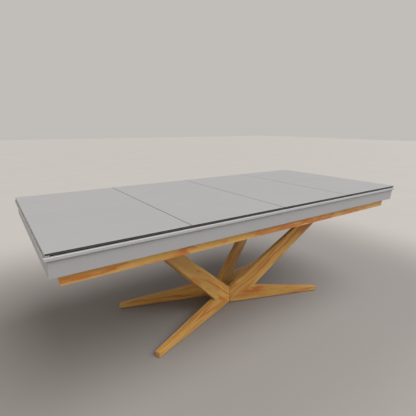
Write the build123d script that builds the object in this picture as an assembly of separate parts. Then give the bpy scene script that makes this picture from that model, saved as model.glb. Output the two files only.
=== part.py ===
from build123d import *

import os
from math import atan, atan2, copysign, cos, degrees, radians, sin, tan

# Convertible dining and pool table. Millimetres, +Z up, +X along the table's length.
# The origin is on the floor, under the middle of the table.

# ---- Driving dimensions ----

TABLE_HEIGHT = 790.0  # floor to the dining surface
TOP_LENGTH = 2324.0  # all dining leaves together
TOP_WIDTH = 1048.0
LEAF_COUNT = 4
LEAF_GAP = 1.5
LEAF_THICKNESS = 9.0
PAD_THICKNESS = 6.0  # dark backing board under each leaf
PAD_INSET = 10.0
LIP_WIDTH = 16.0  # the outer leaves turn down to the rails at the table's ends
REST_GAP = 0.05  # a lift-off leaf never binds on the rails
EDGE = 1.5  # eased edges on wood, laminate and lacquer
FIT = 0.2  # clearance around pieces that are pushed into place

LEDGE = 5.0  # the rail caps stand out past the leaves
CAP_THICKNESS = 15.0
CAP_EDGE = 3.0  # rounding of the caps' outer edges
SIDE_CAP_WIDTH = 72.0
SUB_RAIL_HEIGHT = 25.0
SUB_RAIL_WIDTH = 42.0
END_SUB_RAIL_WIDTH = 80.0
SUB_RAIL_CLEARANCE = 2.0  # from a sub rail's end to the pocket's collar

CUSHION_DEPTH = 42.0
CUSHION_NOSE_HEIGHT = 36.0  # above the cloth
CUSHION_BACK_HEIGHT = 38.5
CUSHION_TOE_HEIGHT = 7.0
CUSHION_TOE_DEPTH = 9.0
NOSE_BEVEL = 3.0
NOSE_UNDERCUT = 5.0

CLOTH_THICKNESS = 1.0
SLATE_THICKNESS = 19.0
SLATE_UNDER_SIDE_RAIL = 37.0
SLATE_UNDER_END_RAIL = 45.0

POCKET_RADIUS = 46.0
LINER_WALL = 2.5
CORNER_POCKET_OFFSET = 28.0  # pocket centre past the two nose lines
SIDE_POCKET_OFFSET = 34.0
CORNER_MOUTH = 120.0
SIDE_MOUTH = 124.0
CORNER_JAW_ANGLE = radians(52.0)  # from square to the rail
SIDE_JAW_ANGLE = radians(14.0)
SIDE_LINER_OPENING = 3.0  # the collar opens this far on the bed's side of its centre
CORNER_LINER_OPENING = -7.0

PAN_WALL = 3.0
PAN_LENGTH = 130.0  # in from the oak frame
PAN_LEDGE_RISE = 6.0  # over the oak frame, so that a ball rolls inwards
PAN_CHUTE_RUN = 14.0
PAN_CHUTE_DROP = 32.0
PAN_RAMP_RUN = 48.0
PAN_FLOOR_LIFT = 5.0  # above the oak frame's lower edge

APRON_HEIGHT = 70.0
APRON_THICKNESS = 18.0
APRON_END_SETBACK = 10.0  # under the cap's edge
APRON_SIDE_SETBACK = 8.0
APRON_SIDE_LEAN = 6.5  # the long aprons come in by this much at the bottom

BEARER_WIDTH = 45.0
BEARER_HEIGHT = 25.0
GLUE_BLOCK_DEPTH = 28.0
GLUE_BLOCK_WIDTH = 30.0
END_GLUE_BLOCK_PITCH = 300.0

OAK_HEIGHT = 53.0
OAK_THICKNESS = 24.0
OAK_HALF_LENGTH = 1116.0  # at the bottom edge
OAK_HALF_WIDTH = 477.0
OAK_END_LEAN = radians(8.0)
BASE_BEARER_X = 658.0  # over the tops of the arms
BASE_BEARER_WIDTH = 140.0
BASE_BEARER_HEIGHT = 30.0

LIMB_ANGLE = radians(19.25)  # plan angle between a limb and the table's length
LIMB_THICKNESS = 32.0
VEE_OFFSET = 63.0  # each pair of limbs meets this far from the table's middle
FOOT_REACH = 699.0  # along the limb, from its mitre to the toe
TOE_HEIGHT = 31.0
TOE_RADIUS = 6.0
GLIDE_RADIUS = 13.0
GLIDE_THICKNESS = 4.0
GLIDE_SETBACK = 22.0
GLIDE_FLAT = 60.0  # level length under the toe
SOLE_RISE = 3.0  # the middle of the base clears an uneven floor
NOTCH_REACH = 180.0  # where the arm's lower edge meets the foot's upper edge
NOTCH_HEIGHT = 108.0
CROTCH_HEIGHT = 116.0  # top of the mitre seam
ARM_LOWER_SLOPE = 0.975
ARM_UPPER_SLOPE = 0.83
HUB_HALF_LENGTH = 78.0
HUB_TOP = 92.0
HUB_LIFT = 8.0  # above the feet's soles

TENON_LENGTH = 62.0  # along the joint between foot and arm
TENON_HEIGHT = 44.0
TENON_THICKNESS = 10.0
DOWEL_RADIUS = 6.0
DOWEL_LENGTH = 44.0
DOWEL_IN_LIMB = 20.0
DOWEL_REACH = 44.0
DOWEL_HEIGHTS = (24.0, 70.0)  # one in the foot and one in the arm

PLATE_THICKNESS = 6.0
PLATE_LENGTH = 112.0
PLATE_WIDTH = 72.0
PLATE_UP_SCREWS = [(u, v) for u in (-44.0, 44.0) for v in (-26.0, 26.0)]
PLATE_DOWN_SCREWS = [(-22.0, 0.0), (18.0, 0.0)]

SCREW_RADIUS = 2.5
SCREW_HEAD_RADIUS = 5.0
SCREW_HEAD_DEPTH = 3.0
SCREW_LENGTH = 42.0
PLATE_UP_LENGTH = 30.0
PLATE_DOWN_LENGTH = 60.0
BOLT_RADIUS = 4.0
BOLT_HEAD_RADIUS = 6.5
BOLT_HEAD = 5.0
WASHER_RADIUS = 10.0
WASHER = 2.0
BOLT_COVER = 4.0  # wood left between a bolt's hole and the rail cap
SIDE_BOLT_X = (175.0, 368.0, 560.0, 735.0)
END_BOLT_Y = (-230.0, 0.0, 230.0)
BOLT_FROM_CUSHION = 20.0

# ---- Levels ----

CAP_TOP = TABLE_HEIGHT - LEAF_THICKNESS - PAD_THICKNESS
CAP_BOTTOM = CAP_TOP - CAP_THICKNESS
CLOTH_TOP = CAP_BOTTOM - SUB_RAIL_HEIGHT
SLATE_TOP = CLOTH_TOP - CLOTH_THICKNESS
SLATE_BOTTOM = SLATE_TOP - SLATE_THICKNESS
APRON_BOTTOM = CAP_BOTTOM - APRON_HEIGHT
BEARER_BOTTOM = SLATE_BOTTOM - BEARER_HEIGHT
OAK_BOTTOM = APRON_BOTTOM - OAK_HEIGHT
BASE_BEARER_BOTTOM = APRON_BOTTOM - BASE_BEARER_HEIGHT
ARM_TOP = BASE_BEARER_BOTTOM - PLATE_THICKNESS
SOLE = GLIDE_THICKNESS
HUB_SOLE = SOLE + SOLE_RISE

# ---- Outlines ----

HALF_LENGTH = TOP_LENGTH / 2 + LEDGE  # over the rail caps
HALF_WIDTH = TOP_WIDTH / 2 + LEDGE
RAIL_INNER_Y = HALF_WIDTH - SIDE_CAP_WIDTH
NOSE_Y = RAIL_INNER_Y - CUSHION_DEPTH
NOSE_X = 2 * NOSE_Y  # the bed is twice as long as it is wide between the noses
RAIL_INNER_X = NOSE_X + CUSHION_DEPTH
SLATE_HALF_LENGTH = RAIL_INNER_X + SLATE_UNDER_END_RAIL
SLATE_HALF_WIDTH = RAIL_INNER_Y + SLATE_UNDER_SIDE_RAIL
APRON_HALF_LENGTH = HALF_LENGTH - APRON_END_SETBACK
APRON_HALF_WIDTH = HALF_WIDTH - APRON_SIDE_SETBACK

LINER_RADIUS = POCKET_RADIUS + LINER_WALL
HOLE_RADIUS = LINER_RADIUS + FIT
CORNER_POCKET_X = NOSE_X + CORNER_POCKET_OFFSET
CORNER_POCKET_Y = NOSE_Y + CORNER_POCKET_OFFSET
POCKETS = {
    "side_front": (0.0, -NOSE_Y - SIDE_POCKET_OFFSET),
    "side_rear": (0.0, NOSE_Y + SIDE_POCKET_OFFSET),
    "corner_front_left": (-CORNER_POCKET_X, -CORNER_POCKET_Y),
    "corner_front_right": (CORNER_POCKET_X, -CORNER_POCKET_Y),
    "corner_rear_left": (-CORNER_POCKET_X, CORNER_POCKET_Y),
    "corner_rear_right": (CORNER_POCKET_X, CORNER_POCKET_Y),
}

PAN_HALF_WIDTH = LINER_RADIUS + 1.5 * PAN_WALL
BEARER_BESIDE_PAN = PAN_HALF_WIDTH + (BEARER_WIDTH + 1) / 2
BEARER_PITCH = (BASE_BEARER_X - BEARER_BESIDE_PAN) / 3
BEARER_STATIONS = [BEARER_BESIDE_PAN + BEARER_PITCH * step for step in range(4)]
BEARER_STATIONS += [CORNER_POCKET_X - BEARER_BESIDE_PAN, CORNER_POCKET_X + BEARER_BESIDE_PAN]
END_BEARER = OAK_HALF_LENGTH - OAK_THICKNESS * 3 / 4  # carries the end aprons

SIGNS = (-1, 1)
FRONT_REAR = {"front": -1, "rear": 1}
LEFT_RIGHT = {"left": -1, "right": 1}
LIMBS = {f"{row}_{side}": (sx, sy) for row, sy in FRONT_REAR.items() for side, sx in LEFT_RIGHT.items()}

# ---- Fixing points ----

BOLT_TOP = CAP_BOTTOM - BOLT_COVER
SIDE_BOLTS = [
    (sx * x, sy * (RAIL_INNER_Y + BOLT_FROM_CUSHION))
    for sx in SIGNS
    for sy in SIGNS
    for x in SIDE_BOLT_X
]
END_BOLTS = [(sx * (RAIL_INNER_X + BOLT_FROM_CUSHION), y) for sx in SIGNS for y in END_BOLT_Y]
RAIL_BOLTS = SIDE_BOLTS + END_BOLTS
SLATE_SCREWS = [
    (sx * x, sy * (RAIL_INNER_Y - SCREW_HEAD_RADIUS * 2))
    for x in BEARER_STATIONS[1:5]
    for sx in SIGNS
    for sy in SIGNS
]
OAK_SCREWS = [
    (sx * x, sy * (OAK_HALF_WIDTH - OAK_THICKNESS / 2))
    for x in BEARER_STATIONS
    for sx in SIGNS
    for sy in SIGNS
]
BASE_BEARER_SCREWS = [(sx * BASE_BEARER_X, y) for sx in SIGNS for y in (-380.0, -130.0, 130.0, 380.0)]
FRAME_SCREWS = OAK_SCREWS + BASE_BEARER_SCREWS

# Where the upper and lower edges of an arm reach its plate
ARM_UPPER_REACH = (ARM_TOP - CROTCH_HEIGHT) / ARM_UPPER_SLOPE
ARM_LOWER_REACH = NOTCH_REACH + (ARM_TOP - NOTCH_HEIGHT) / ARM_LOWER_SLOPE
MITRE_START = -20.0  # limb outlines begin behind the mitre plane, which trims them
JOINT_SLOPE = (NOTCH_HEIGHT - HUB_SOLE) / (NOTCH_REACH - MITRE_START)


# ---- Helpers ----


def block(x0, x1, y0, y1, z0, z1):
    """A box between two corners, given in any order."""
    middle = Pos((x0 + x1) / 2, (y0 + y1) / 2, (z0 + z1) / 2)
    return middle * Box(abs(x1 - x0), abs(y1 - y0), abs(z1 - z0))


def prism(points, z0, z1):
    """A plan outline raised from z0 to z1."""
    return extrude(Pos(0, 0, z0) * make_face(Polyline(*points, close=True)), z1 - z0)


def rod(x, y, radius, z0, z1):
    return Pos(x, y, (z0 + z1) / 2) * Cylinder(radius, z1 - z0)


def drilled(piece, centres, radius, z0, z1):
    """Drills through z0 to z1, a little past both."""
    for x, y in centres:
        piece -= rod(x, y, radius, z0 - 1, z1 + 1)
    return piece


def screw(top, length, head_depth=SCREW_HEAD_DEPTH):
    """A countersunk screw at x = y = 0, with its head flush at top and its point down."""
    shank = rod(0, 0, SCREW_RADIUS, top - length, top - head_depth / 2)
    return shank + Pos(0, 0, top - head_depth / 2) * Cone(SCREW_RADIUS, SCREW_HEAD_RADIUS, head_depth)


def screwed(piece, centres, top):
    """Makes room in a piece for the screws driven down from top."""
    for x, y in centres:
        piece -= Pos(x, y, 0) * screw(top, SCREW_LENGTH)
    return piece


def near(centres, x, reach):
    """The fixing points whose x is within reach of the given one."""
    return [point for point in centres if abs(point[0] - x) < reach]


def save(name, *solids):
    piece = solids[0] if len(solids) == 1 else Compound(children=list(solids))
    export_step(piece, f"parts/{name}.step")


# ---- Dining leaves ----


def dining_leaves():
    pitch = (TOP_LENGTH + LEAF_GAP) / LEAF_COUNT
    leaf_y = TOP_WIDTH / 2
    pad_y = leaf_y - PAD_INSET
    under_leaf = TABLE_HEIGHT - LEAF_THICKNESS
    under_pad = CAP_TOP + REST_GAP
    for index in range(LEAF_COUNT):
        x0 = -TOP_LENGTH / 2 + index * pitch
        x1 = x0 + pitch - LEAF_GAP
        pad_x0 = x0 + (LIP_WIDTH if index == 0 else 0)
        pad_x1 = x1 - (LIP_WIDTH if index == LEAF_COUNT - 1 else 0)
        leaf = block(x0, x1, -leaf_y, leaf_y, under_leaf, TABLE_HEIGHT)
        for start, stop in ((x0, pad_x0), (pad_x1, x1)):
            if start != stop:
                leaf += block(start, stop, -leaf_y, leaf_y, under_pad, under_leaf)
        corners = [
            edge
            for edge in leaf.edges().filter_by(Axis.Z)
            if min(abs(edge.center().X - x) for x in (x0, x1)) < EDGE
        ]
        leaf = fillet(corners, EDGE)
        leaf = fillet(leaf.faces().sort_by(Axis.Z)[-1].edges(), EDGE / 2)
        save(f"dining_leaf_{index + 1}", leaf)
        save(f"leaf_pad_{index + 1}", block(pad_x0, pad_x1, -pad_y, pad_y, under_pad, under_leaf))


# ---- Rails and cushions ----


def rail_caps():
    """Side caps from pocket to pocket, and a wide cap across each end."""
    y0, y1 = RAIL_INNER_Y, HALF_WIDTH
    for row, sy in FRONT_REAR.items():
        for half, sx in LEFT_RIGHT.items():
            cap = block(0, sx * RAIL_INNER_X, sy * y0, sy * y1, CAP_BOTTOM, CAP_TOP)
            outer_face = cap.faces().sort_by(Axis.Y)[0 if sy < 0 else -1]
            cap = fillet(outer_face.edges().filter_by(Axis.X), CAP_EDGE)
            cap = drilled(cap, POCKETS.values(), HOLE_RADIUS, CAP_BOTTOM, CAP_TOP)
            save(f"rail_cap_{row}_{half}", cap)
    for end, sx in LEFT_RIGHT.items():
        cap = block(sx * RAIL_INNER_X, sx * HALF_LENGTH, -y1, y1, CAP_BOTTOM, CAP_TOP)
        exposed = [edge for edge in cap.edges() if abs(edge.center().X) > RAIL_INNER_X + EDGE]
        cap = drilled(fillet(exposed, CAP_EDGE), POCKETS.values(), HOLE_RADIUS, CAP_BOTTOM, CAP_TOP)
        save(f"rail_cap_{end}", cap)


def sub_rails():
    """Timbers between the slate and the caps, drilled from below for the rail bolts."""
    gap = HOLE_RADIUS + SUB_RAIL_CLEARANCE
    for row, sy in FRONT_REAR.items():
        for half, sx in LEFT_RIGHT.items():
            y0, y1 = sy * RAIL_INNER_Y, sy * (RAIL_INNER_Y + SUB_RAIL_WIDTH)
            rail = block(sx * gap, sx * (CORNER_POCKET_X - gap), y0, y1, CLOTH_TOP, CAP_BOTTOM)
            bolts = [(x, y) for x, y in SIDE_BOLTS if x * sx > 0 and y * sy > 0]
            save(f"sub_rail_{row}_{half}", drilled(rail, bolts, BOLT_RADIUS, CLOTH_TOP, BOLT_TOP - 1))
    for end, sx in LEFT_RIGHT.items():
        x0, x1 = sx * RAIL_INNER_X, sx * (RAIL_INNER_X + END_SUB_RAIL_WIDTH)
        reach = CORNER_POCKET_Y - gap
        rail = block(x0, x1, -reach, reach, CLOTH_TOP, CAP_BOTTOM)
        bolts = [(x, y) for x, y in END_BOLTS if x * sx > 0]
        save(f"sub_rail_{end}", drilled(rail, bolts, BOLT_RADIUS, CLOTH_TOP, BOLT_TOP - 1))


def cushion(nose_start, nose_stop, start_jaw, stop_jaw):
    """A cushion along +X. Its back is on y = 0, its nose points to -y, and z is from the cloth.

    The jaws splay by an angle from square, so the back is longer than the nose.
    """
    nose = -CUSHION_DEPTH
    section = Polyline(
        (0, CUSHION_BACK_HEIGHT),
        (nose + NOSE_BEVEL, CUSHION_NOSE_HEIGHT + NOSE_BEVEL / 2),
        (nose, CUSHION_NOSE_HEIGHT - NOSE_BEVEL / 4),
        (nose + NOSE_BEVEL, CUSHION_NOSE_HEIGHT - NOSE_UNDERCUT),
        (-CUSHION_TOE_DEPTH, CUSHION_TOE_HEIGHT),
        (0, CUSHION_TOE_HEIGHT),
        close=True,
    )
    start = nose_start - CUSHION_DEPTH * tan(start_jaw)
    stop = nose_stop + CUSHION_DEPTH * tan(stop_jaw)
    strip = Pos(start, 0, 0) * extrude(Plane.YZ * make_face(section), stop - start)
    jaws = [(start, 0), (stop, 0), (nose_stop, nose), (nose_start, nose)]
    return strip & prism(jaws, 0, CUSHION_BACK_HEIGHT + 1)


def cushions():
    """Each cushion is glued to its sub rail's inner face."""
    corner_cut = CORNER_MOUTH * cos(radians(45))
    side = cushion(SIDE_MOUTH / 2, NOSE_X - corner_cut, SIDE_JAW_ANGLE, CORNER_JAW_ANGLE)
    end = cushion(corner_cut - NOSE_Y, NOSE_Y - corner_cut, CORNER_JAW_ANGLE, CORNER_JAW_ANGLE)
    rear_right = Pos(0, RAIL_INNER_Y, CLOTH_TOP) * side
    front_right = mirror(rear_right, Plane.XZ)
    right = Pos(RAIL_INNER_X, 0, CLOTH_TOP) * Rot(0, 0, -90) * end
    save("cushion_rear_right", rear_right)
    save("cushion_rear_left", mirror(rear_right, Plane.YZ))
    save("cushion_front_right", front_right)
    save("cushion_front_left", mirror(front_right, Plane.YZ))
    save("cushion_right", right)
    save("cushion_left", mirror(right, Plane.YZ))


# ---- Pockets ----


def liner(x, y):
    """A round collar in the rail, open on the bed's side, on a sleeve through the slate."""
    z0, z1 = SLATE_BOTTOM + FIT, CAP_TOP - 1
    ring = rod(x, y, LINER_RADIUS, z0, z1) - rod(x, y, POCKET_RADIUS, z0 - 1, z1 + 1)
    along_bed = 0 if x == 0 else -copysign(1, x)
    towards_bed = degrees(atan2(-copysign(1, y), along_bed))
    start = SIDE_LINER_OPENING if x == 0 else CORNER_LINER_OPENING
    reach = 2 * LINER_RADIUS
    opening = block(start, reach, -reach, reach, CLOTH_TOP, CAP_TOP)
    return ring - Pos(x, y, 0) * Rot(0, 0, towards_bed) * opening


def pan_section(inset, rim):
    """The tray's side section as (y, z). Its hollow is the same section set in by the wall."""
    outside = SLATE_HALF_WIDTH - inset
    frame_face = OAK_HALF_WIDTH - OAK_THICKNESS - FIT - inset
    ledge = APRON_BOTTOM + FIT + inset
    floor = OAK_BOTTOM + PAN_FLOOR_LIFT + inset
    inner_end = frame_face - PAN_LENGTH + 2 * inset
    return Polyline(
        (outside, rim),
        (outside, ledge + PAN_LEDGE_RISE),
        (frame_face, ledge),
        (frame_face - PAN_CHUTE_RUN, ledge - PAN_CHUTE_DROP),
        (frame_face - PAN_RAMP_RUN, floor),
        (inner_end, floor),
        (inner_end, rim),
        close=True,
    )


def ball_pan(x, y):
    """A moulded tray under a pocket. Its ramp carries a ball in past the oak frame."""
    rim = SLATE_BOTTOM - FIT
    outer = extrude(Plane.YZ * make_face(pan_section(0, rim)), PAN_HALF_WIDTH, both=True)
    hollow = make_face(pan_section(PAN_WALL, rim + 1))
    inner = extrude(Plane.YZ * hollow, PAN_HALF_WIDTH - PAN_WALL, both=True)
    pan = Pos(x, 0, 0) * (outer - inner)
    return pan if y > 0 else mirror(pan, Plane.XZ)


def pockets():
    save("pocket_liners", *[liner(x, y) for x, y in POCKETS.values()])
    pans = {name: ball_pan(x, y) for name, (x, y) in POCKETS.items()}
    save("side_ball_pans", pans.pop("side_front"), pans.pop("side_rear"))
    for name, pan in pans.items():
        save(f"ball_pan_{name}", pan)


# ---- Slate bed ----


def bed_outline(grow, z0, z1):
    """The bed's outline with a notch for each pocket, open to the bed's edge."""
    x1, y1 = SLATE_HALF_LENGTH, SLATE_HALF_WIDTH
    radius = HOLE_RADIUS + grow
    bed = drilled(block(-x1, x1, -y1, y1, z0, z1), POCKETS.values(), radius, z0, z1)
    for x, y in POCKETS.values():
        edge_y = copysign(y1 + 1, y)
        if x == 0:
            bed -= block(-radius, radius, y, edge_y, z0, z1)
            continue
        edge_x = copysign(x1 + 1, x)
        bed -= block(x, edge_x, y - copysign(radius, y), edge_y, z0, z1)
        bed -= block(x - copysign(radius, x), edge_x, y, edge_y, z0, z1)
    return bed


def slate_bed():
    slate = bed_outline(0, SLATE_BOTTOM, SLATE_TOP)
    slate = drilled(slate, RAIL_BOLTS, BOLT_RADIUS + 1, SLATE_BOTTOM, SLATE_TOP)
    save("slate_bed", screwed(slate, SLATE_SCREWS, SLATE_TOP))
    cloth = bed_outline(CLOTH_THICKNESS / 2, SLATE_TOP, CLOTH_TOP)
    save("bed_cloth", drilled(cloth, RAIL_BOLTS, BOLT_RADIUS + 1, SLATE_TOP, CLOTH_TOP))


def bed_bearers():
    """Cross timbers that carry the slate on the oak frame."""
    reach = SLATE_HALF_WIDTH
    half = BEARER_WIDTH / 2
    bearers = []
    for x in [sx * station for sx in SIGNS for station in BEARER_STATIONS + [END_BEARER]]:
        bearer = block(x - half, x + half, -reach, reach, BEARER_BOTTOM, SLATE_BOTTOM)
        bearer = screwed(bearer, near(SLATE_SCREWS, x, half), SLATE_TOP)
        bearers.append(screwed(bearer, near(FRAME_SCREWS, x, half), SLATE_BOTTOM))
    save("bed_bearers", *bearers)


def rail_bolt(x, y):
    """A bolt from under the slate up into a sub rail, with its washer and hexagon head."""
    washer_bottom = SLATE_BOTTOM - WASHER
    head_bottom = washer_bottom - BOLT_HEAD
    bolt = rod(x, y, BOLT_RADIUS, head_bottom, BOLT_TOP - 1)
    bolt += rod(x, y, WASHER_RADIUS, washer_bottom, SLATE_BOTTOM)
    hexagon = Pos(x, y, head_bottom) * RegularPolygon(BOLT_HEAD_RADIUS, 6)
    return bolt + extrude(hexagon, BOLT_HEAD)


def fasteners():
    screws = [Pos(x, y, 0) * screw(SLATE_TOP, SCREW_LENGTH) for x, y in SLATE_SCREWS]
    screws += [Pos(x, y, 0) * screw(SLATE_BOTTOM, SCREW_LENGTH) for x, y in FRAME_SCREWS]
    save("frame_screws", *screws)
    save("rail_bolts", *[rail_bolt(x, y) for x, y in RAIL_BOLTS])


# ---- Aprons and oak frame ----


def frustum(low, top, z0, z1):
    """A block with plan half sizes low at z0 and top at z1."""
    sections = [(low, z0), (top, z1)]
    return loft([Pos(0, 0, z) * Rectangle(2 * x, 2 * y) for (x, y), z in sections])


def wedge(low, top, z0, z1, plan):
    """A block whose outline at each level is the plan of that level's half sizes."""
    sections = [(low, z0), (top, z1)]
    return loft([Pos(0, 0, z) * make_face(Polyline(*plan(x, y), close=True)) for (x, y), z in sections])


def mitred_ring(low, top, z0, z1, thickness):
    """Front, rear, left and right boards that meet in mitres. Half sizes may differ by level."""
    outer = frustum(low, top, z0, z1)
    outer = fillet([edge for edge in outer.edges() if edge.center().Z < z1 - EDGE], EDGE)
    inner_low = (low[0] - thickness, low[1] - thickness)
    inner_top = (top[0] - thickness, top[1] - thickness)
    ring = outer - frustum(inner_low, inner_top, z0, z1)
    boards = {}
    for name, sy in FRONT_REAR.items():
        boards[name] = ring & wedge(
            low, top, z0, z1, lambda x, y: [(-x, sy * y), (x, sy * y), (x - y, 0), (y - x, 0)]
        )
    for name, sx in LEFT_RIGHT.items():
        boards[name] = ring & wedge(
            low, top, z0, z1, lambda x, y: [(sx * x, -y), (sx * x, y), (sx * (x - y), 0)]
        )
    return boards


def aprons():
    low = (APRON_HALF_LENGTH, APRON_HALF_WIDTH - APRON_SIDE_LEAN)
    top = (APRON_HALF_LENGTH, APRON_HALF_WIDTH)
    for name, board in mitred_ring(low, top, APRON_BOTTOM, CAP_BOTTOM, APRON_THICKNESS).items():
        save(f"apron_{name}", board)


def glue_blocks():
    """Blocks that join the aprons to the bed bearers, level with them."""
    z0, z1 = BEARER_BOTTOM + EDGE, SLATE_BOTTOM - EDGE
    lean = APRON_SIDE_LEAN / APRON_HEIGHT
    apron_low = APRON_HALF_WIDTH - APRON_SIDE_LEAN - APRON_THICKNESS - FIT
    faces = [apron_low + lean * (z - APRON_BOTTOM) for z in (z0, z1)]
    back = apron_low - GLUE_BLOCK_DEPTH
    section = Polyline((faces[0], z0), (faces[1], z1), (back, z1), (back, z0), close=True)
    wide = extrude(Plane.YZ * make_face(section), GLUE_BLOCK_WIDTH)
    blocks = []
    for station in BEARER_STATIONS[1:4]:
        rear_right = Pos(station + BEARER_WIDTH / 2, 0, 0) * wide
        front_right = mirror(rear_right, Plane.XZ)
        blocks += [rear_right, front_right, mirror(rear_right, Plane.YZ), mirror(front_right, Plane.YZ)]
    start = END_BEARER + BEARER_WIDTH / 2
    stop = APRON_HALF_LENGTH - APRON_THICKNESS
    for sx in SIGNS:
        for y in (-END_GLUE_BLOCK_PITCH, 0, END_GLUE_BLOCK_PITCH):
            blocks.append(block(sx * start, sx * stop, y - GLUE_BLOCK_WIDTH, y + GLUE_BLOCK_WIDTH, z0, z1))
    save("glue_blocks", *blocks)


def oak_frame():
    low = (OAK_HALF_LENGTH, OAK_HALF_WIDTH)
    top = (OAK_HALF_LENGTH + OAK_HEIGHT * tan(OAK_END_LEAN), OAK_HALF_WIDTH)
    boards = mitred_ring(low, top, OAK_BOTTOM, APRON_BOTTOM, OAK_THICKNESS)
    for name, sy in FRONT_REAR.items():
        boards[name] = screwed(boards[name], [p for p in OAK_SCREWS if p[1] * sy > 0], SLATE_BOTTOM)
    for name, board in boards.items():
        save(f"oak_rail_{name}", board)


def base_bearers():
    """Two wide boards across the frame, which the base is screwed to."""
    reach = OAK_HALF_WIDTH - OAK_THICKNESS
    half = BASE_BEARER_WIDTH / 2
    bearers = []
    for side in SIGNS:
        x = side * BASE_BEARER_X
        bearer = block(x - half, x + half, -reach, reach, BASE_BEARER_BOTTOM, APRON_BOTTOM)
        bearer = screwed(bearer, near(BASE_BEARER_SCREWS, x, half), SLATE_BOTTOM)
        for sy in SIGNS:
            for plate_screw in plate_screws_up(side, sy):
                bearer -= plate_screw
        bearers.append(bearer)
    save("base_bearers", *bearers)


# ---- Splayed oak base ----


def limb_plane(sx, sy):
    """The limb's middle plane. Its x runs out along the limb and its y is up."""
    along = Vector(sx * cos(LIMB_ANGLE), sy * sin(LIMB_ANGLE), 0)
    return Plane((0, sy * VEE_OFFSET, 0), x_dir=along, z_dir=along.cross(Vector(0, 0, 1)))


def limb_board(face, sx, sy):
    """A board with eased edges clear of the joint, mitred on the table's middle plane."""
    plane = limb_plane(sx, sy)
    raw = extrude(plane * face, LIMB_THICKNESS / 2, both=True)
    eased = []
    for edge in raw.edges():
        place = plane.to_local_coords(edge.center())
        if place.X > NOTCH_REACH and abs(place.Z) > LIMB_THICKNESS / 4:
            eased.append(edge)
    half_space = block(0, sx * 2 * FOOT_REACH, -FOOT_REACH, FOOT_REACH, 0, TABLE_HEIGHT)
    return fillet(eased, EDGE) & half_space


def arm(sx, sy):
    outline = Polyline(
        (MITRE_START, CROTCH_HEIGHT + ARM_UPPER_SLOPE * MITRE_START),
        (ARM_UPPER_REACH, ARM_TOP),
        (ARM_LOWER_REACH, ARM_TOP),
        (NOTCH_REACH, NOTCH_HEIGHT),
        (MITRE_START, HUB_SOLE),
        close=True,
    )
    return limb_board(make_face(outline), sx, sy)


def foot(sx, sy):
    outline = Polyline(
        (MITRE_START, HUB_SOLE),
        (NOTCH_REACH, NOTCH_HEIGHT),
        (FOOT_REACH, TOE_HEIGHT),
        (FOOT_REACH, SOLE),
        (FOOT_REACH - GLIDE_FLAT, SOLE),
        close=True,
    )
    face = make_face(outline)
    toe = face.vertices().sort_by_distance((FOOT_REACH, TOE_HEIGHT, 0))[0]
    return limb_board(fillet(toe, TOE_RADIUS), sx, sy)


def tenon(sx, sy):
    """A floating tenon hidden across the joint between foot and arm."""
    reach = NOTCH_REACH / 2
    height = HUB_SOLE + JOINT_SLOPE * (reach - MITRE_START)
    place = limb_plane(sx, sy) * Pos(reach, height, 0) * Rot(0, 0, degrees(atan(JOINT_SLOPE)))
    return place * Box(TENON_LENGTH, TENON_HEIGHT, TENON_THICKNESS)


def dowels(sx, sy):
    """Dowels from the hub block into a limb's inner face."""
    inwards = sx * sy
    middle = inwards * (LIMB_THICKNESS / 2 - DOWEL_IN_LIMB + DOWEL_LENGTH / 2)
    peg = Cylinder(DOWEL_RADIUS, DOWEL_LENGTH)
    return [limb_plane(sx, sy) * Pos(DOWEL_REACH, height, middle) * peg for height in DOWEL_HEIGHTS]


def plate_plane(sx, sy):
    """The underside of the arm's mounting plate, turned along the limb."""
    limb = limb_plane(sx, sy)
    centre = limb.from_local_coords(Vector((ARM_UPPER_REACH + ARM_LOWER_REACH) / 2, ARM_TOP, 0))
    return Plane(centre, x_dir=limb.x_dir, z_dir=(0, 0, 1))


def plate_screws_up(sx, sy):
    """Round heads under the plate, shanks up into the base bearer."""
    head = Pos(0, 0, -SCREW_HEAD_DEPTH / 2) * Cylinder(SCREW_HEAD_RADIUS, SCREW_HEAD_DEPTH)
    fixing = head + rod(0, 0, SCREW_RADIUS, -SCREW_HEAD_DEPTH, PLATE_UP_LENGTH)
    return [plate_plane(sx, sy) * Pos(u, v, 0) * fixing for u, v in PLATE_UP_SCREWS]


def plate_screws_down(sx, sy):
    """Heads flush in the plate, shanks down into the arm's end."""
    fixing = screw(PLATE_THICKNESS, PLATE_DOWN_LENGTH)
    return [plate_plane(sx, sy) * Pos(u, v, 0) * fixing for u, v in PLATE_DOWN_SCREWS]


def hub_block():
    """Fills the space between the two vees of limbs."""
    middle = VEE_OFFSET - LIMB_THICKNESS / 2 / cos(LIMB_ANGLE)
    end = HUB_HALF_LENGTH
    end_y = middle + end * tan(LIMB_ANGLE)
    plan = [(0, -middle), (end, -end_y), (end, end_y), (0, middle), (-end, end_y), (-end, -end_y)]
    return prism(plan, SOLE + HUB_LIFT, HUB_TOP)


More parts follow.
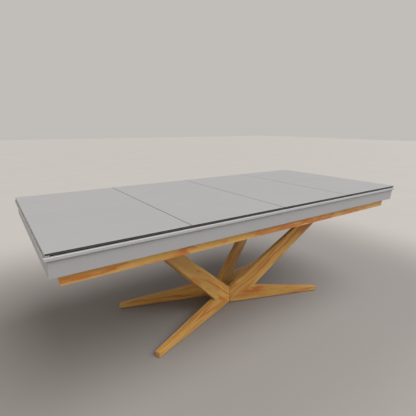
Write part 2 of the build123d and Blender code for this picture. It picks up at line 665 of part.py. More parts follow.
def base():
    tenons, pegs, plates, screws, glides = [], [], [], [], []
    hub = hub_block()
    for name, (sx, sy) in LIMBS.items():
        tongue = tenon(sx, sy)
        limb_arm = arm(sx, sy) - tongue
        limb_foot = foot(sx, sy) - tongue
        for peg in dowels(sx, sy):
            limb_arm -= peg
            limb_foot -= peg
            hub -= peg
            pegs.append(peg)
        plate = plate_plane(sx, sy) * Pos(0, 0, PLATE_THICKNESS / 2)
        plate *= Box(PLATE_LENGTH, PLATE_WIDTH, PLATE_THICKNESS)
        fixings = plate_screws_up(sx, sy) + plate_screws_down(sx, sy)
        for fixing in fixings:
            plate -= fixing
        for fixing in plate_screws_down(sx, sy):
            limb_arm -= fixing
        toe = limb_plane(sx, sy).from_local_coords(Vector(FOOT_REACH - GLIDE_SETBACK, 0, 0))
        glides.append(rod(toe.X, toe.Y, GLIDE_RADIUS, 0, GLIDE_THICKNESS))
        save(f"arm_{name}", limb_arm)
        save(f"foot_{name}", limb_foot)
        tenons.append(tongue)
        plates.append(plate)
        screws += fixings
    save("hub_block", hub)
    save("hub_dowels", *pegs, *tenons)
    save("arm_plates", *plates)
    save("plate_screws", *screws)
    save("foot_glides", *glides)


os.makedirs("parts", exist_ok=True)
dining_leaves()
rail_caps()
sub_rails()
cushions()
pockets()
slate_bed()
bed_bearers()
fasteners()
aprons()
glue_blocks()
oak_frame()
base_bearers()
base()
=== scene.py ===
from math import atan2, cos, pi, radians, sin

import bmesh
import bpy
from bpy.props import FloatProperty, FloatVectorProperty, IntProperty, PointerProperty
from mathutils import Matrix, Vector


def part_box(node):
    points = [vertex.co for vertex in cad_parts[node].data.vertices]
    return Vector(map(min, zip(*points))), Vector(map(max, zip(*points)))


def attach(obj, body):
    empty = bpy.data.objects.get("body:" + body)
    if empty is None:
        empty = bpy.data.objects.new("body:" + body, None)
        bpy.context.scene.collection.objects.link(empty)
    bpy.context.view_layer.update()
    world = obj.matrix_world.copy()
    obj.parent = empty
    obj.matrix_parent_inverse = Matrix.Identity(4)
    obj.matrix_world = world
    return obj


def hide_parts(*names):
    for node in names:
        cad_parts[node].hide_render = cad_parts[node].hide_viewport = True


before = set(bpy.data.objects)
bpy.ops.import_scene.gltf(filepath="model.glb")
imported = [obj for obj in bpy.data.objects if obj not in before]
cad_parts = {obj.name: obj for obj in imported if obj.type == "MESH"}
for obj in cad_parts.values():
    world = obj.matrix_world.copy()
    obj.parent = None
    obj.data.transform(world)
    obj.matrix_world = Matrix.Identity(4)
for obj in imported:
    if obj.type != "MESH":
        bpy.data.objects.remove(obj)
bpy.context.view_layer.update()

bl_info = {
    "name": "Convertible dining and pool table",
    "version": (1, 0, 0),
    "blender": (4, 5, 0),
    "location": "3D View > Sidebar > Table",
    "description": "Dresses the table's frame with its leaves, rails, bed, oak base and hardware",
    "category": "Add Mesh",
}

MM = 0.001
FRONT_REAR = {"front": -1, "rear": 1}
LEFT_RIGHT = {"left": -1, "right": 1}


def from_screen(red, green, blue):
    """A colour given as on a screen, from 0 to 255, as the linear one that a shader takes."""
    linear = []
    for channel in (red, green, blue):
        share = channel / 255
        linear.append(share / 12.92 if share <= 0.04045 else ((share + 0.055) / 1.055) ** 2.4)
    return tuple(linear)


def toned(share, colour):
    """A colour made darker, or lighter where share is over 1."""
    return tuple(share * channel for channel in colour)


# ---- Node trees ----


class Value:
    """A node's output. Python's operators on it add Math nodes to its tree."""

    def __init__(self, tree, socket):
        self.tree = tree
        self.socket = socket

    def output(self, name):
        """Another output of the same node."""
        return Value(self.tree, self.socket.node.outputs[name])

    def __add__(self, other):
        return self.tree.maths("ADD", self, other)

    def __radd__(self, other):
        return self.tree.maths("ADD", other, self)

    def __sub__(self, other):
        return self.tree.maths("SUBTRACT", self, other)

    def __rsub__(self, other):
        return self.tree.maths("SUBTRACT", other, self)

    def __mul__(self, other):
        return self.tree.maths("MULTIPLY", self, other)

    def __rmul__(self, other):
        return self.tree.maths("MULTIPLY", other, self)

    def __truediv__(self, other):
        return self.tree.maths("DIVIDE", self, other)

    def __rtruediv__(self, other):
        return self.tree.maths("DIVIDE", other, self)

    def __pow__(self, other):
        return self.tree.maths("POWER", self, other)


class Tree:
    """Builds a shader or geometry tree."""

    def __init__(self, tree):
        self.tree = tree
        self.tree.nodes.clear()

    def node(self, kind, settings=None, inputs=None, output=0):
        """Adds a node, with its settings first and then its sockets' values and links."""
        made = self.tree.nodes.new(kind)
        for name, value in (settings or {}).items():
            setattr(made, name, value)
        for name, value in (inputs or {}).items():
            for item in value if isinstance(value, list) else [value]:
                if isinstance(item, Value):
                    self.tree.links.new(item.socket, made.inputs[name])
                else:
                    made.inputs[name].default_value = item
        return Value(self, made.outputs[output] if len(made.outputs) else None)

    def maths(self, operation, *values):
        return self.node("ShaderNodeMath", {"operation": operation}, dict(enumerate(values)))

    def mix(self, share, first, second):
        """A colour from first, where share is 0, to second, where it is 1."""
        colours = [c if isinstance(c, Value) else (*c[:3], 1) for c in (first, second)]
        inputs = {0: share, 6: colours[0], 7: colours[1]}
        return self.node("ShaderNodeMix", {"data_type": "RGBA"}, inputs, 2)

    def scaled(self, vector, factors):
        return self.node("ShaderNodeVectorMath", {"operation": "MULTIPLY"}, {0: vector, 1: factors})

    def noise(self, vector, factors, detail=2.0, roughness=0.5):
        """Noise from 0 to 1, with about factors blotches to the metre along each axis."""
        inputs = {"Vector": self.scaled(vector, factors), "Scale": 1.0}
        inputs.update({"Detail": detail, "Roughness": roughness})
        return self.node("ShaderNodeTexNoise", {}, inputs)

    def above(self, value, start, stop):
        """0 below start and 1 above stop, with a soft step between."""
        inputs = {"Value": value, "From Min": start, "From Max": stop}
        return self.node("ShaderNodeMapRange", {"interpolation_type": "SMOOTHSTEP"}, inputs)

    def place(self):
        return self.node("ShaderNodeTexCoord").output("Object")


def finish(name, pattern, constants):
    """A material whose pattern gives its varying sockets, and a height with its depth in metres."""
    material = bpy.data.materials.new(name)
    material.use_nodes = True
    tree = Tree(material.node_tree)
    looks = pattern(tree)
    height, depth = looks.pop("height")
    looks["Normal"] = tree.node("ShaderNodeBump", {}, {"Height": height, "Distance": depth})
    shader = tree.node("ShaderNodeBsdfPrincipled", {}, {**constants, **looks})
    tree.node("ShaderNodeOutputMaterial", {}, {"Surface": shader})
    return material


# ---- Finishes ----


def wood(name, light, dark, turn, shift, ring, seam=0.0):
    """Flat-sawn wood.

    turn is the Euler turn that brings the grain to X, and shift then moves the tree's heart.
    ring is the distance between growth rings, and seam the half width of the dark glue line
    where two boards meet in the plane x = 0.
    """

    def pattern(tree):
        place = tree.place()
        turned = {"Vector": place, "Rotation": turn, "Location": shift}
        board = tree.node("ShaderNodeMapping", {}, turned)
        axes = tree.node("ShaderNodeSeparateXYZ", {}, {"Vector": board})
        along, across, through = axes, axes.output("Y"), axes.output("Z")
        wander = tree.noise(board, (1.7, 9.0, 9.0), 3.0)
        torn = tree.noise(board, (16.0, 95.0, 95.0), 4.0, 0.65)
        straight = (across**2 + through**2) ** 0.5 + along * 0.022
        radius = straight + wander * 0.08 + torn * 0.012
        rings = tree.maths("FRACT", radius / ring)
        late = tree.above(rings, 0.35, 0.72) * (1 - tree.above(rings, 0.88, 1.0))
        streak = tree.above(tree.noise(board, (1.3, 24.0, 24.0), 3.0, 0.6), 0.36, 0.56)
        fibre = tree.noise(board, (14.0, 380.0, 380.0), 2.0, 0.6)
        pores = tree.above(tree.noise(board, (45.0, 900.0, 900.0), 1.0), 0.56, 0.70)
        cloudy = tree.noise(board, (2.5, 12.0, 12.0), 3.0)
        pale = tree.above(cloudy, 0.35, 0.7)
        base = tree.mix(pale, toned(1.12, light), toned(0.88, light))
        ringed = tree.mix(late * (0.25 + streak * 0.6), base, dark)
        threaded = tree.mix(fibre * 0.3, ringed, toned(0.6, dark))
        colour = tree.mix(pores * 0.2, threaded, toned(0.35, dark))
        height = late * 0.25 - pores
        if seam:
            middle = tree.node("ShaderNodeSeparateXYZ", {}, {"Vector": place})
            line = 1 - tree.above(tree.maths("ABSOLUTE", middle), 0.35 * seam, seam)
            colour = tree.mix(line * 0.85, colour, toned(0.12, dark))
            height = height - line * 3.0
        return {
            "Base Color": colour,
            "Roughness": 0.46 + pores * 0.16 - late * 0.06,
            "height": (height, 0.12 * MM),
        }

    return finish(name, pattern, {"Specular IOR Level": 0.42})


def lacquer(name, colour, roughness=0.42):
    """Satin sprayed lacquer, with a faint mottle and orange peel."""

    def pattern(tree):
        place = tree.place()
        mottle = tree.noise(place, (9.0, 9.0, 9.0), 3.0)
        peel = tree.noise(place, (420.0, 420.0, 420.0), 1.0)
        smear = tree.noise(place, (3.0, 14.0, 14.0), 4.0, 0.6)
        return {
            "Base Color": tree.mix(mottle * 0.5, colour, toned(0.93, colour)),
            "Roughness": roughness - 0.06 + smear * 0.14,
            "height": (peel, 0.03 * MM),
        }

    return finish(name, pattern, {"Specular IOR Level": 0.4})


def laminate(name, colour):
    """Matt compact laminate with a fine pressed grain, a little shinier where hands wipe it."""

    def pattern(tree):
        place = tree.place()
        speck = tree.noise(place, (700.0, 700.0, 700.0), 2.0, 0.7)
        cloud = tree.noise(place, (2.6, 3.4, 3.0), 4.0, 0.55)
        wiped = tree.noise(place, (1.4, 9.0, 5.0), 5.0, 0.6)
        base = tree.mix(cloud, toned(1.03, colour), toned(0.95, colour))
        specked = tree.above(speck, 0.55, 0.8) * 0.3
        return {
            "Base Color": tree.mix(specked, base, toned(0.8, colour)),
            "Roughness": 0.33 + wiped * 0.13 + speck * 0.03,
            "height": (speck, 0.02 * MM),
        }

    return finish(name, pattern, {"Specular IOR Level": 0.5})


def board_core(name, colour):
    """The cut and polished edge of compact laminate, in thin layers."""

    def pattern(tree):
        place = tree.place()
        layers = tree.noise(place, (20.0, 20.0, 2400.0), 2.0)
        marks = tree.noise(place, (60.0, 60.0, 500.0), 3.0)
        return {
            "Base Color": tree.mix(layers, colour, toned(1.5, colour)),
            "Roughness": 0.38 + marks * 0.2,
            "height": (layers, 0.03 * MM),
        }

    return finish(name, pattern, {"Specular IOR Level": 0.4})


def moulded(name, colour, grain=520.0, roughness=0.5):
    """Moulded plastic or powder coat with a fine pebble texture."""

    def pattern(tree):
        place = tree.place()
        pebble = tree.noise(place, (grain, grain, grain), 2.0)
        rubbed = tree.noise(place, (14.0, 14.0, 14.0), 4.0, 0.6)
        return {
            "Base Color": tree.mix(rubbed * 0.6, colour, tuple(1.8 * c + 0.004 for c in colour)),
            "Roughness": roughness - 0.08 + rubbed * 0.18,
            "height": (pebble, 0.06 * MM),
        }

    return finish(name, pattern, {})


def zinc(name, colour):
    """Bright zinc plate with a soft spangle and turning marks."""

    def pattern(tree):
        place = tree.place()
        spangle = tree.noise(place, (160.0, 160.0, 160.0), 3.0)
        marks = tree.noise(place, (900.0, 900.0, 60.0), 2.0)
        return {
            "Base Color": tree.mix(spangle * 0.5, colour, toned(0.7, colour)),
            "Roughness": 0.24 + spangle * 0.16 + marks * 0.08,
            "height": (marks, 0.02 * MM),
        }

    return finish(name, pattern, {"Metallic": 1.0})


def stone(name, colour):
    """Honed slate: grey cleavage clouds, pale flecks and saw marks."""

    def pattern(tree):
        place = tree.place()
        cloud = tree.noise(place, (3.0, 7.0, 30.0), 6.0, 0.65)
        fleck = tree.above(tree.noise(place, (260.0, 260.0, 260.0), 2.0), 0.68, 0.8)
        saw = tree.noise(place, (500.0, 8.0, 40.0), 3.0)
        base = tree.mix(cloud, toned(0.6, colour), toned(1.4, colour))
        return {
            "Base Color": tree.mix(fleck * 0.35, base, (0.4, 0.42, 0.43)),
            "Roughness": 0.52 + cloud * 0.2,
            "height": (saw + cloud * 2.0, 0.06 * MM),
        }

    return finish(name, pattern, {})


TWILL = 1.1 * MM  # spacing of the cloth's twill lines
CROSS_TWILL = 2.3 * MM
HIDE_CELLS = 620.0  # pebbles of the leather to the metre


def billiard_cloth(name, colour):
    """Worsted cloth: a fine twill under a short brushed nap."""

    def pattern(tree):
        place = tree.place()
        axes = tree.node("ShaderNodeSeparateXYZ", {}, {"Vector": place})
        diagonal = (axes + axes.output("Y") + axes.output("Z")) * (2 * pi / TWILL)
        counter = (axes - axes.output("Y") + axes.output("Z")) * (2 * pi / CROSS_TWILL)
        twill = tree.maths("SINE", diagonal) * 0.5 + tree.maths("SINE", counter) * 0.25 + 0.5
        nap = tree.noise(place, (240.0, 700.0, 500.0), 3.0, 0.6)
        worn = tree.above(tree.noise(place, (3.0, 5.0, 4.0), 4.0), 0.5, 0.8)
        base = tree.mix(nap * 0.6, toned(1.15, colour), toned(0.7, colour))
        return {
            "Base Color": tree.mix(worn * 0.2, base, toned(1.35, colour)),
            "Roughness": 0.86 + nap * 0.1,
            "height": (twill * 0.7 + nap, 0.12 * MM),
        }

    sheen = {"Sheen Weight": 0.12, "Sheen Roughness": 0.5, "Specular IOR Level": 0.15}
    return finish(name, pattern, sheen)


def hide(name, colour):
    """Black saddle leather with pebbled pores and fine creases."""

    def pattern(tree):
        place = tree.place()
        pebbles = {"Vector": place, "Scale": HIDE_CELLS}
        cells = tree.node("ShaderNodeTexVoronoi", {"feature": "DISTANCE_TO_EDGE"}, pebbles)
        creases = tree.above(cells, 0.0, 0.14)
        cloud = tree.noise(place, (40.0, 40.0, 40.0), 4.0, 0.6)
        return {
            "Base Color": tree.mix(cloud, colour, toned(2.2, colour)),
            "Roughness": 0.42 + cloud * 0.2 - creases * 0.05,
            "height": (creases, 0.1 * MM),
        }

    return finish(name, pattern, {"Specular IOR Level": 0.45})


def dress(node, material):
    """Gives a frame node its finish."""
    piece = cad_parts[node]
    piece.data.materials.clear()
    piece.data.materials.append(material)


# ---- Meshes ----

SAME_POINT = 0.001 * MM  # points of a new mesh that are nearer than this are one
SAME_CORNER = 0.01 * MM  # and points of a frame node's mesh that are nearer than this
LEAST_RADIUS = 0.05 * MM
CORNER_STEPS = 5
FLAT_MARGIN = 3  # a plate's flat faces start this many edge radii in


def new_piece(name, mesh, body, replaced):
    piece = bpy.data.objects.new(name, mesh)
    bpy.context.scene.collection.objects.link(piece)
    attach(piece, body)
    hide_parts(*replaced)
    return piece


def smooth(mesh, angle=35.0):
    mesh.shade_smooth()
    mesh.set_sharp_from_angle(angle=radians(angle))


def rounded_outline(low, high, radius, inset):
    """Plan points of a rectangle with round corners, drawn in by inset."""
    points = []
    reach = max(radius - inset, LEAST_RADIUS)
    corners = [(high.x, high.y, 0), (low.x, high.y, 90), (low.x, low.y, 180), (high.x, low.y, 270)]
    for x, y, start in corners:
        centre_x = x - radius if x == high.x else x + radius
        centre_y = y - radius if y == high.y else y + radius
        if inset > radius:
            extra = inset - radius
            centre_x += -extra if x == high.x else extra
            centre_y += -extra if y == high.y else extra
        for step in range(CORNER_STEPS + 1):
            angle = radians(start + 90 * step / CORNER_STEPS)
            points.append((centre_x + reach * cos(angle), centre_y + reach * sin(angle)))
    return points


def layered_plate(name, low, high, corner, ease, skin, grey_end=None):
    """A flat plate with eased edges. Its faces are skin, and the middle of its edge is core.

    grey_end is the x of an end whose whole edge is skin. At another end, the easing cuts into
    the core.
    """
    turns = [radians(angle) for angle in (0, 30, 60, 90)]
    quarter = [(ease * (1 - sin(turn)), ease * (1 - cos(turn))) for turn in turns]
    levels = [(low.z, FLAT_MARGIN * ease)]
    levels += [(low.z + rise, inset) for inset, rise in quarter]
    levels += [(low.z + skin, 0.0), (high.z - skin, 0.0)]
    levels += [(high.z - rise, inset) for inset, rise in reversed(quarter)]
    levels += [(high.z, FLAT_MARGIN * ease)]
    build = bmesh.new()
    rings = []
    for z, inset in levels:
        ring = [build.verts.new((x, y, z)) for x, y in rounded_outline(low, high, corner, inset)]
        rings.append(ring)
    core_band = len(quarter) + 1
    top_band = len(levels) - 2
    for band, (lower, upper) in enumerate(zip(rings, rings[1:])):
        for index in range(len(lower)):
            after = (index + 1) % len(lower)
            face = build.faces.new((lower[index], lower[after], upper[after], upper[index]))
            middle = (lower[index].co.x + lower[after].co.x) / 2
            is_grey = grey_end is not None and abs(middle - grey_end) < corner
            is_seam = min(middle - low.x, high.x - middle) < corner and core_band < band < top_band
            face.material_index = 1 if (band == core_band or is_seam) and not is_grey else 0
    build.faces.new(reversed(rings[0]))
    build.faces.new(rings[-1])
    bmesh.ops.remove_doubles(build, verts=build.verts, dist=SAME_POINT)
    mesh = bpy.data.meshes.new(name)
    build.to_mesh(mesh)
    build.free()
    smooth(mesh)
    return mesh


def merged_copy(node):
    """A copy of a frame node's mesh with its doubles merged and its flat faces joined."""
    build = bmesh.new()
    build.from_mesh(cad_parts[node].data)
    bmesh.ops.remove_doubles(build, verts=build.verts, dist=SAME_CORNER)
    bmesh.ops.dissolve_limit(build, angle_limit=radians(1.0), verts=build.verts, edges=build.edges)
    mesh = bpy.data.meshes.new(node)
    build.to_mesh(mesh)
    build.free()
    return mesh


def add_bevel(piece, width, segments, angle=40.0):
    bevel = piece.modifiers.new("Eased edges", "BEVEL")
    bevel.width = width
    bevel.segments = segments
    bevel.limit_method = "ANGLE"
    bevel.angle_limit = radians(angle)
    bevel.harden_normals = False


# ---- Settings ----


class LeafSettings(bpy.types.PropertyGroup):
    colour: FloatVectorProperty(
        name="Leaf colour",
        description="Grey of the leaves' faces",
        subtype="COLOR",
        size=3,
        default=from_screen(134, 134, 135),
    )
    core: FloatVectorProperty(
        name="Core colour",
        description="Dark core seen on a leaf's edge",
        subtype="COLOR",
        size=3,
        default=from_screen(40, 39, 40),
    )
    # A dark board, made near-black as painted shade for the gap under each leaf's edge
    backing: FloatVectorProperty(
        name="Backing colour",
        description="Board under each leaf",
        subtype="COLOR",
        size=3,
        default=from_screen(26, 25, 26),
    )
    skin: FloatProperty(
        name="Skin",
        description="Thickness of a leaf's grey faces",
        default=0.9 * MM,
        subtype="DISTANCE",
        unit="LENGTH",
    )
    ease: FloatProperty(
        name="Edge radius",
        description="Rounding of a leaf's edges",
        default=1.2 * MM,
        subtype="DISTANCE",
        unit="LENGTH",
    )
    corner: FloatProperty(
        name="Corner radius",
        description="Rounding of a leaf's corners",
        default=1.5 * MM,
        subtype="DISTANCE",
        unit="LENGTH",
    )


class RailSettings(bpy.types.PropertyGroup):
    colour: FloatVectorProperty(
        name="Lacquer colour",
        description="Grey of the rail caps and aprons",
        subtype="COLOR",
        size=3,
        default=from_screen(144, 144, 145),
    )
    cloth: FloatVectorProperty(
        name="Cloth colour",
        description="Cloth on the bed and cushions",
        subtype="COLOR",
        size=3,
        default=from_screen(58, 78, 92),
    )
    slate: FloatVectorProperty(
        name="Slate colour",
        description="Stone under the cloth",
        subtype="COLOR",
        size=3,
        default=from_screen(92, 96, 100),
    )
    nose: FloatProperty(
        name="Nose radius",
        description="Rounding of a cushion's nose",
        default=4.0 * MM,
        subtype="DISTANCE",
        unit="LENGTH",
    )


class OakSettings(bpy.types.PropertyGroup):
    light: FloatVectorProperty(
        name="Light wood",
        description="Oak between its rings",
        subtype="COLOR",
        size=3,
        default=from_screen(184, 146, 77),
    )
    dark: FloatVectorProperty(
        name="Dark wood",
        description="Oak in its late rings",
        subtype="COLOR",
        size=3,
        default=from_screen(170, 92, 28),
    )
    ring: FloatProperty(
        name="Ring spacing",
        description="Distance between growth rings",
        default=17 * MM,
        subtype="DISTANCE",
        unit="LENGTH",
    )
    seam: FloatProperty(
        name="Seam",
        description="Half width of the dark glue line in a mitre",
        default=2.2 * MM,
        subtype="DISTANCE",
        unit="LENGTH",
    )
    plan_angle: FloatProperty(
        name="Limb angle",
        description="Plan angle of a limb from the table's length",
        default=radians(19.25),
        subtype="ANGLE",
        unit="ROTATION",
    )


class HardwareSettings(bpy.types.PropertyGroup):
    steel: FloatVectorProperty(
        name="Zinc colour",
        description="Screws and bolts",
        subtype="COLOR",
        size=3,
        default=from_screen(190, 188, 182),
    )
    sides: IntProperty(
        name="Round sides",
        description="Facets round a washer or a bolt's shank",
        default=24,
        min=8,
        max=64,
    )


class StageSettings(bpy.types.PropertyGroup):
    # The floor colour, darker than the sweep, is painted shade under and round the table
    floor: FloatVectorProperty(
        name="Floor colour",
        description="Plain pale floor",
        subtype="COLOR",
        size=3,
        default=from_screen(120, 116, 113),
    )
    sweep: FloatVectorProperty(
        name="Sweep colour",
        description="Paler floor far from the table",
        subtype="COLOR",
        size=3,
        default=from_screen(153, 149, 145),
    )
    focal: FloatProperty(
        name="Focal length",
        description="Camera lens, in millimetres on a 36 mm sensor",
        default=27.729,
    )
    walls: FloatProperty(
        name="Wall light",
        description="Strength of the light from the room's walls",
        default=0.53,
    )
    ceiling: FloatProperty(
        name="Ceiling light",
        description="Strength of the light from the ceiling",
        default=0.15,
    )


# ---- Operators ----

COVERED_EDGE = 0.8 * MM  # rounding of a cushion's and a collar's edges
CLOTH_EDGE = 0.35 * MM
CUSHION_STATIONS = 24
NOSE_STEPS = 9
NOSE_HEIGHT = 29 * MM  # over the cushion's underside
CROWN = 0.2 * MM  # fall of a cushion's top from its back to its middle
TOE_DEPTH = 9 * MM
FOLD = 1 * MM  # thickness of the cloth's edge that hangs behind a cushion
FOLD_CLEARANCE = 0.2 * MM  # between that edge and the bed's cloth

RAIL_PAINTED_LIGHT = 1.16  # painted light: the oak frame is made paler than the arms, to light it in the aprons' shadow, and painted shade: the feet are made darker
FOOT_PAINTED_SHADE = 0.88
ARM_RISE = atan2(0.9, 1.0)  # the grain's slope in an arm
FOOT_RISE = -0.07
BEECH_RING = 9 * MM
BEECH_LIGHT = from_screen(205, 176, 136)
BEECH_DARK = from_screen(172, 132, 88)

WASHER_HEIGHT = 2 * MM
BOLT_HEAD_HEIGHT = 5 * MM
HEAD_CHAMFER = 0.22  # share of a bolt head's height that is chamfered
HEAD_FACE = 0.84  # radius of its flat face, as a share of the head's

FLOOR_REACH = 30.0
PAINTED_SHADE_UNDER_TABLE = (1.1, 0.5)  # half length and half width of the floor under the table, where its colour is painted darker as painted shade
FLOOR_SHADE_FADE = (0.35, 1.7)  # distances beyond that between which the painted shade fades and the floor turns paler
CEILING_FADE = (0.3, 0.75)  # heights in the sky between the walls' light and the ceiling's
ROOM_TINT = (1.0, 0.955, 0.91)
LAMP_TARGET = Vector((0, 0, 0.5))
LAMPS = (  # name, place, angle that the light spreads over, strength and tint
    ("window", (1.5, -1.75, 4.1), 1.0, 4.7, (0.98, 0.99, 1.0)),
    ("left", (-4.5, -0.6, 2.6), 2.2, 1.9, (1.0, 0.92, 0.84)),
    ("right", (3.4, -3.0, 2.2), 2.0, 0.7, (1.0, 0.97, 0.94)),
)
SENSOR_WIDTH = 36.0
CAMERA_PLACE = Vector((-1.2805, -1.6556, 1.2077))
CAMERA_YAW = 0.96455
CAMERA_PITCH = 0.25073
CAMERA_ROLL = 0.0052


class MakeLeaves(bpy.types.Operator):
    """Four lift-off dining leaves with a dark core, each on its backing board, and the end lips"""

    bl_idname = "table.make_leaves"
    bl_label = "Dining leaves"

    def execute(self, context):
        settings = context.scene.table_leaves
        face = laminate("leaf_laminate", tuple(settings.colour))
        core = board_core("leaf_core", tuple(settings.core))
        # painted shade in part: the dark backing is made near-black to darken the gap under each
        # leaf's edge
        backing = moulded("leaf_backing", tuple(settings.backing), 300.0, 0.6)
        edges = (settings.corner, settings.ease, settings.skin)
        for index in range(1, 5):
            node = f"dining_leaf_{index}"
            low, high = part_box(node)
            pad_low, pad_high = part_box(f"leaf_pad_{index}")
            end = {1: low.x, 4: high.x}.get(index)
            plate_low = Vector((low.x, low.y, pad_high.z))
            plate = layered_plate(node, plate_low, high, *edges, end)
            plate.materials.append(face)
            plate.materials.append(core)
            new_piece(f"leaf_{index}_plate", plate, f"leaf_{index}", [node])
            if end is not None:
                inner, outer = sorted((pad_low.x if end < 0 else pad_high.x, end))
                lip_low = Vector((inner, low.y, low.z))
                lip_high = Vector((outer, high.y, pad_high.z))
                lip = layered_plate(f"{node}_lip", lip_low, lip_high, *edges)
                lip.materials.append(face)
                lip.materials.append(face)
                new_piece(f"leaf_{index}_lip", lip, f"leaf_{index}", [node])
            dress(f"leaf_pad_{index}", backing)
        return {"FINISHED"}


class MakeRails(bpy.types.Operator):
    """Lacquered rail caps and aprons"""

    bl_idname = "table.make_rails"
    bl_label = "Rails and aprons"

    def execute(self, context):
        grey = tuple(context.scene.table_rails.colour)
        caps = lacquer("rail_lacquer", grey)
        aprons = lacquer("apron_lacquer", toned(0.97, grey), 0.46)
        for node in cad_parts:
            if node.startswith("rail_cap"):
                dress(node, caps)
            elif node.startswith("apron"):
                dress(node, aprons)
        return {"FINISHED"}


def cushion_profile(depth, back_height, radius, skirt):
    """Points from the back's top round the nose and the toe to the cloth's folded edge.

    Each is (depth, height). The folded edge hangs down by skirt.
    """
    points = [(0.0, back_height), (0.5 * depth, back_height - CROWN)]
    nose_depth, nose_height = depth - radius, NOSE_HEIGHT - radius * 0.2
    for step in range(NOSE_STEPS):
        angle = radians(80 - 20 * step)
        points.append((nose_depth + radius * cos(angle), nose_height + radius * sin(angle)))
    points.append((0.6 * depth, 0.5 * (nose_height - radius)))
    points += [(TOE_DEPTH, 0.0), (FOLD, 0.0), (FOLD, -skirt), (0.0, -skirt)]
    return points


class MakeBed(bpy.types.Operator):
    """Slate, stretched cloth, cloth-covered cushions, leather pockets and ball trays"""

    bl_idname = "table.make_bed"
    bl_label = "Bed and pockets"

    def cushion(self, node, inner, along, cloth, radius):
        """A cushion of the frame node's size, with the node's slant at each jaw.

        inner points to the bed, along runs the cushion's length, and radius rounds its nose.
        """
        low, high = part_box(node)
        size = high - low
        centre = (low + high) / 2
        depth = abs(size.dot(inner))
        length = abs(size.dot(along))
        back = centre - inner * depth / 2
        back.z = low.z
        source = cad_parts[node].data.vertices
        nose = [v.co.dot(along) for v in source if (v.co - back).dot(inner) > 0.98 * depth]
        start = centre.dot(along) - length / 2
        stop = start + length
        jaws = ((min(nose) - start) / depth, (stop - max(nose)) / depth)
        skirt = low.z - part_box("bed_cloth")[1].z - FOLD_CLEARANCE
        profile = cushion_profile(depth, size.z, radius, skirt)
        build = bmesh.new()
        rows = []
        for station in range(CUSHION_STATIONS + 1):
            share = station / CUSHION_STATIONS
            row = []
            for out, height in profile:
                begin, end = start + out * jaws[0], stop - out * jaws[1]
                reach = begin + (end - begin) * share
                place = back + inner * out + along * (reach - centre.dot(along))
                row.append(build.verts.new((place.x, place.y, low.z + min(height, size.z))))
            rows.append(row)
        for lower, upper in zip(rows, rows[1:]):
            for index in range(len(profile)):
                after = (index + 1) % len(profile)
                build.faces.new((lower[index], lower[after], upper[after], upper[index]))
        build.faces.new(rows[0])
        build.faces.new(reversed(rows[-1]))
        bmesh.ops.recalc_face_normals(build, faces=build.faces)
        mesh = bpy.data.meshes.new(node)
        build.to_mesh(mesh)
        build.free()
        smooth(mesh, 30.0)
        mesh.materials.append(cloth)
        piece = new_piece(f"{node}_covered", mesh, "root", [node])
        add_bevel(piece, COVERED_EDGE, 2, 50.0)

    def execute(self, context):
        settings = context.scene.table_rails
        cloth = billiard_cloth("bed_cloth", tuple(settings.cloth))
        leather = hide("pocket_leather", from_screen(36, 33, 31))
        dress("slate_bed", stone("slate", tuple(settings.slate)))
        pans = moulded("pan_plastic", from_screen(34, 34, 35))
        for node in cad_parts:
            if "ball_pan" in node:
                dress(node, pans)
        x_axis, y_axis = Vector((1, 0, 0)), Vector((0, 1, 0))
        for row, sy in FRONT_REAR.items():
            for half in LEFT_RIGHT:
                self.cushion(f"cushion_{row}_{half}", y_axis * -sy, x_axis, cloth, settings.nose)
        for end, sx in LEFT_RIGHT.items():
            self.cushion(f"cushion_{end}", x_axis * -sx, y_axis, cloth, settings.nose)
        sheet = merged_copy("bed_cloth")
        sheet.materials.append(cloth)
        spread = new_piece("stretched_bed_cloth", sheet, "root", ["bed_cloth"])
        add_bevel(spread, CLOTH_EDGE, 2)
        collars = merged_copy("pocket_liners")
        collars.materials.append(leather)
        smooth(collars)
        lining = new_piece("leather_collars", collars, "root", ["pocket_liners"])
        add_bevel(lining, COVERED_EDGE, 3)
        return {"FINISHED"}


def limb_turn(sx, sy, plan_angle, rise):
    """The turn that brings a limb's grain to X and its broad face's normal to Z."""
    plan = Vector((sx * cos(plan_angle), sy * sin(plan_angle), 0))
    grain = (plan * cos(rise) + Vector((0, 0, sin(rise)))).normalized()
    normal = plan.cross(Vector((0, 0, 1))).normalized()
    across = normal.cross(grain)
    return Matrix((grain, across, normal))


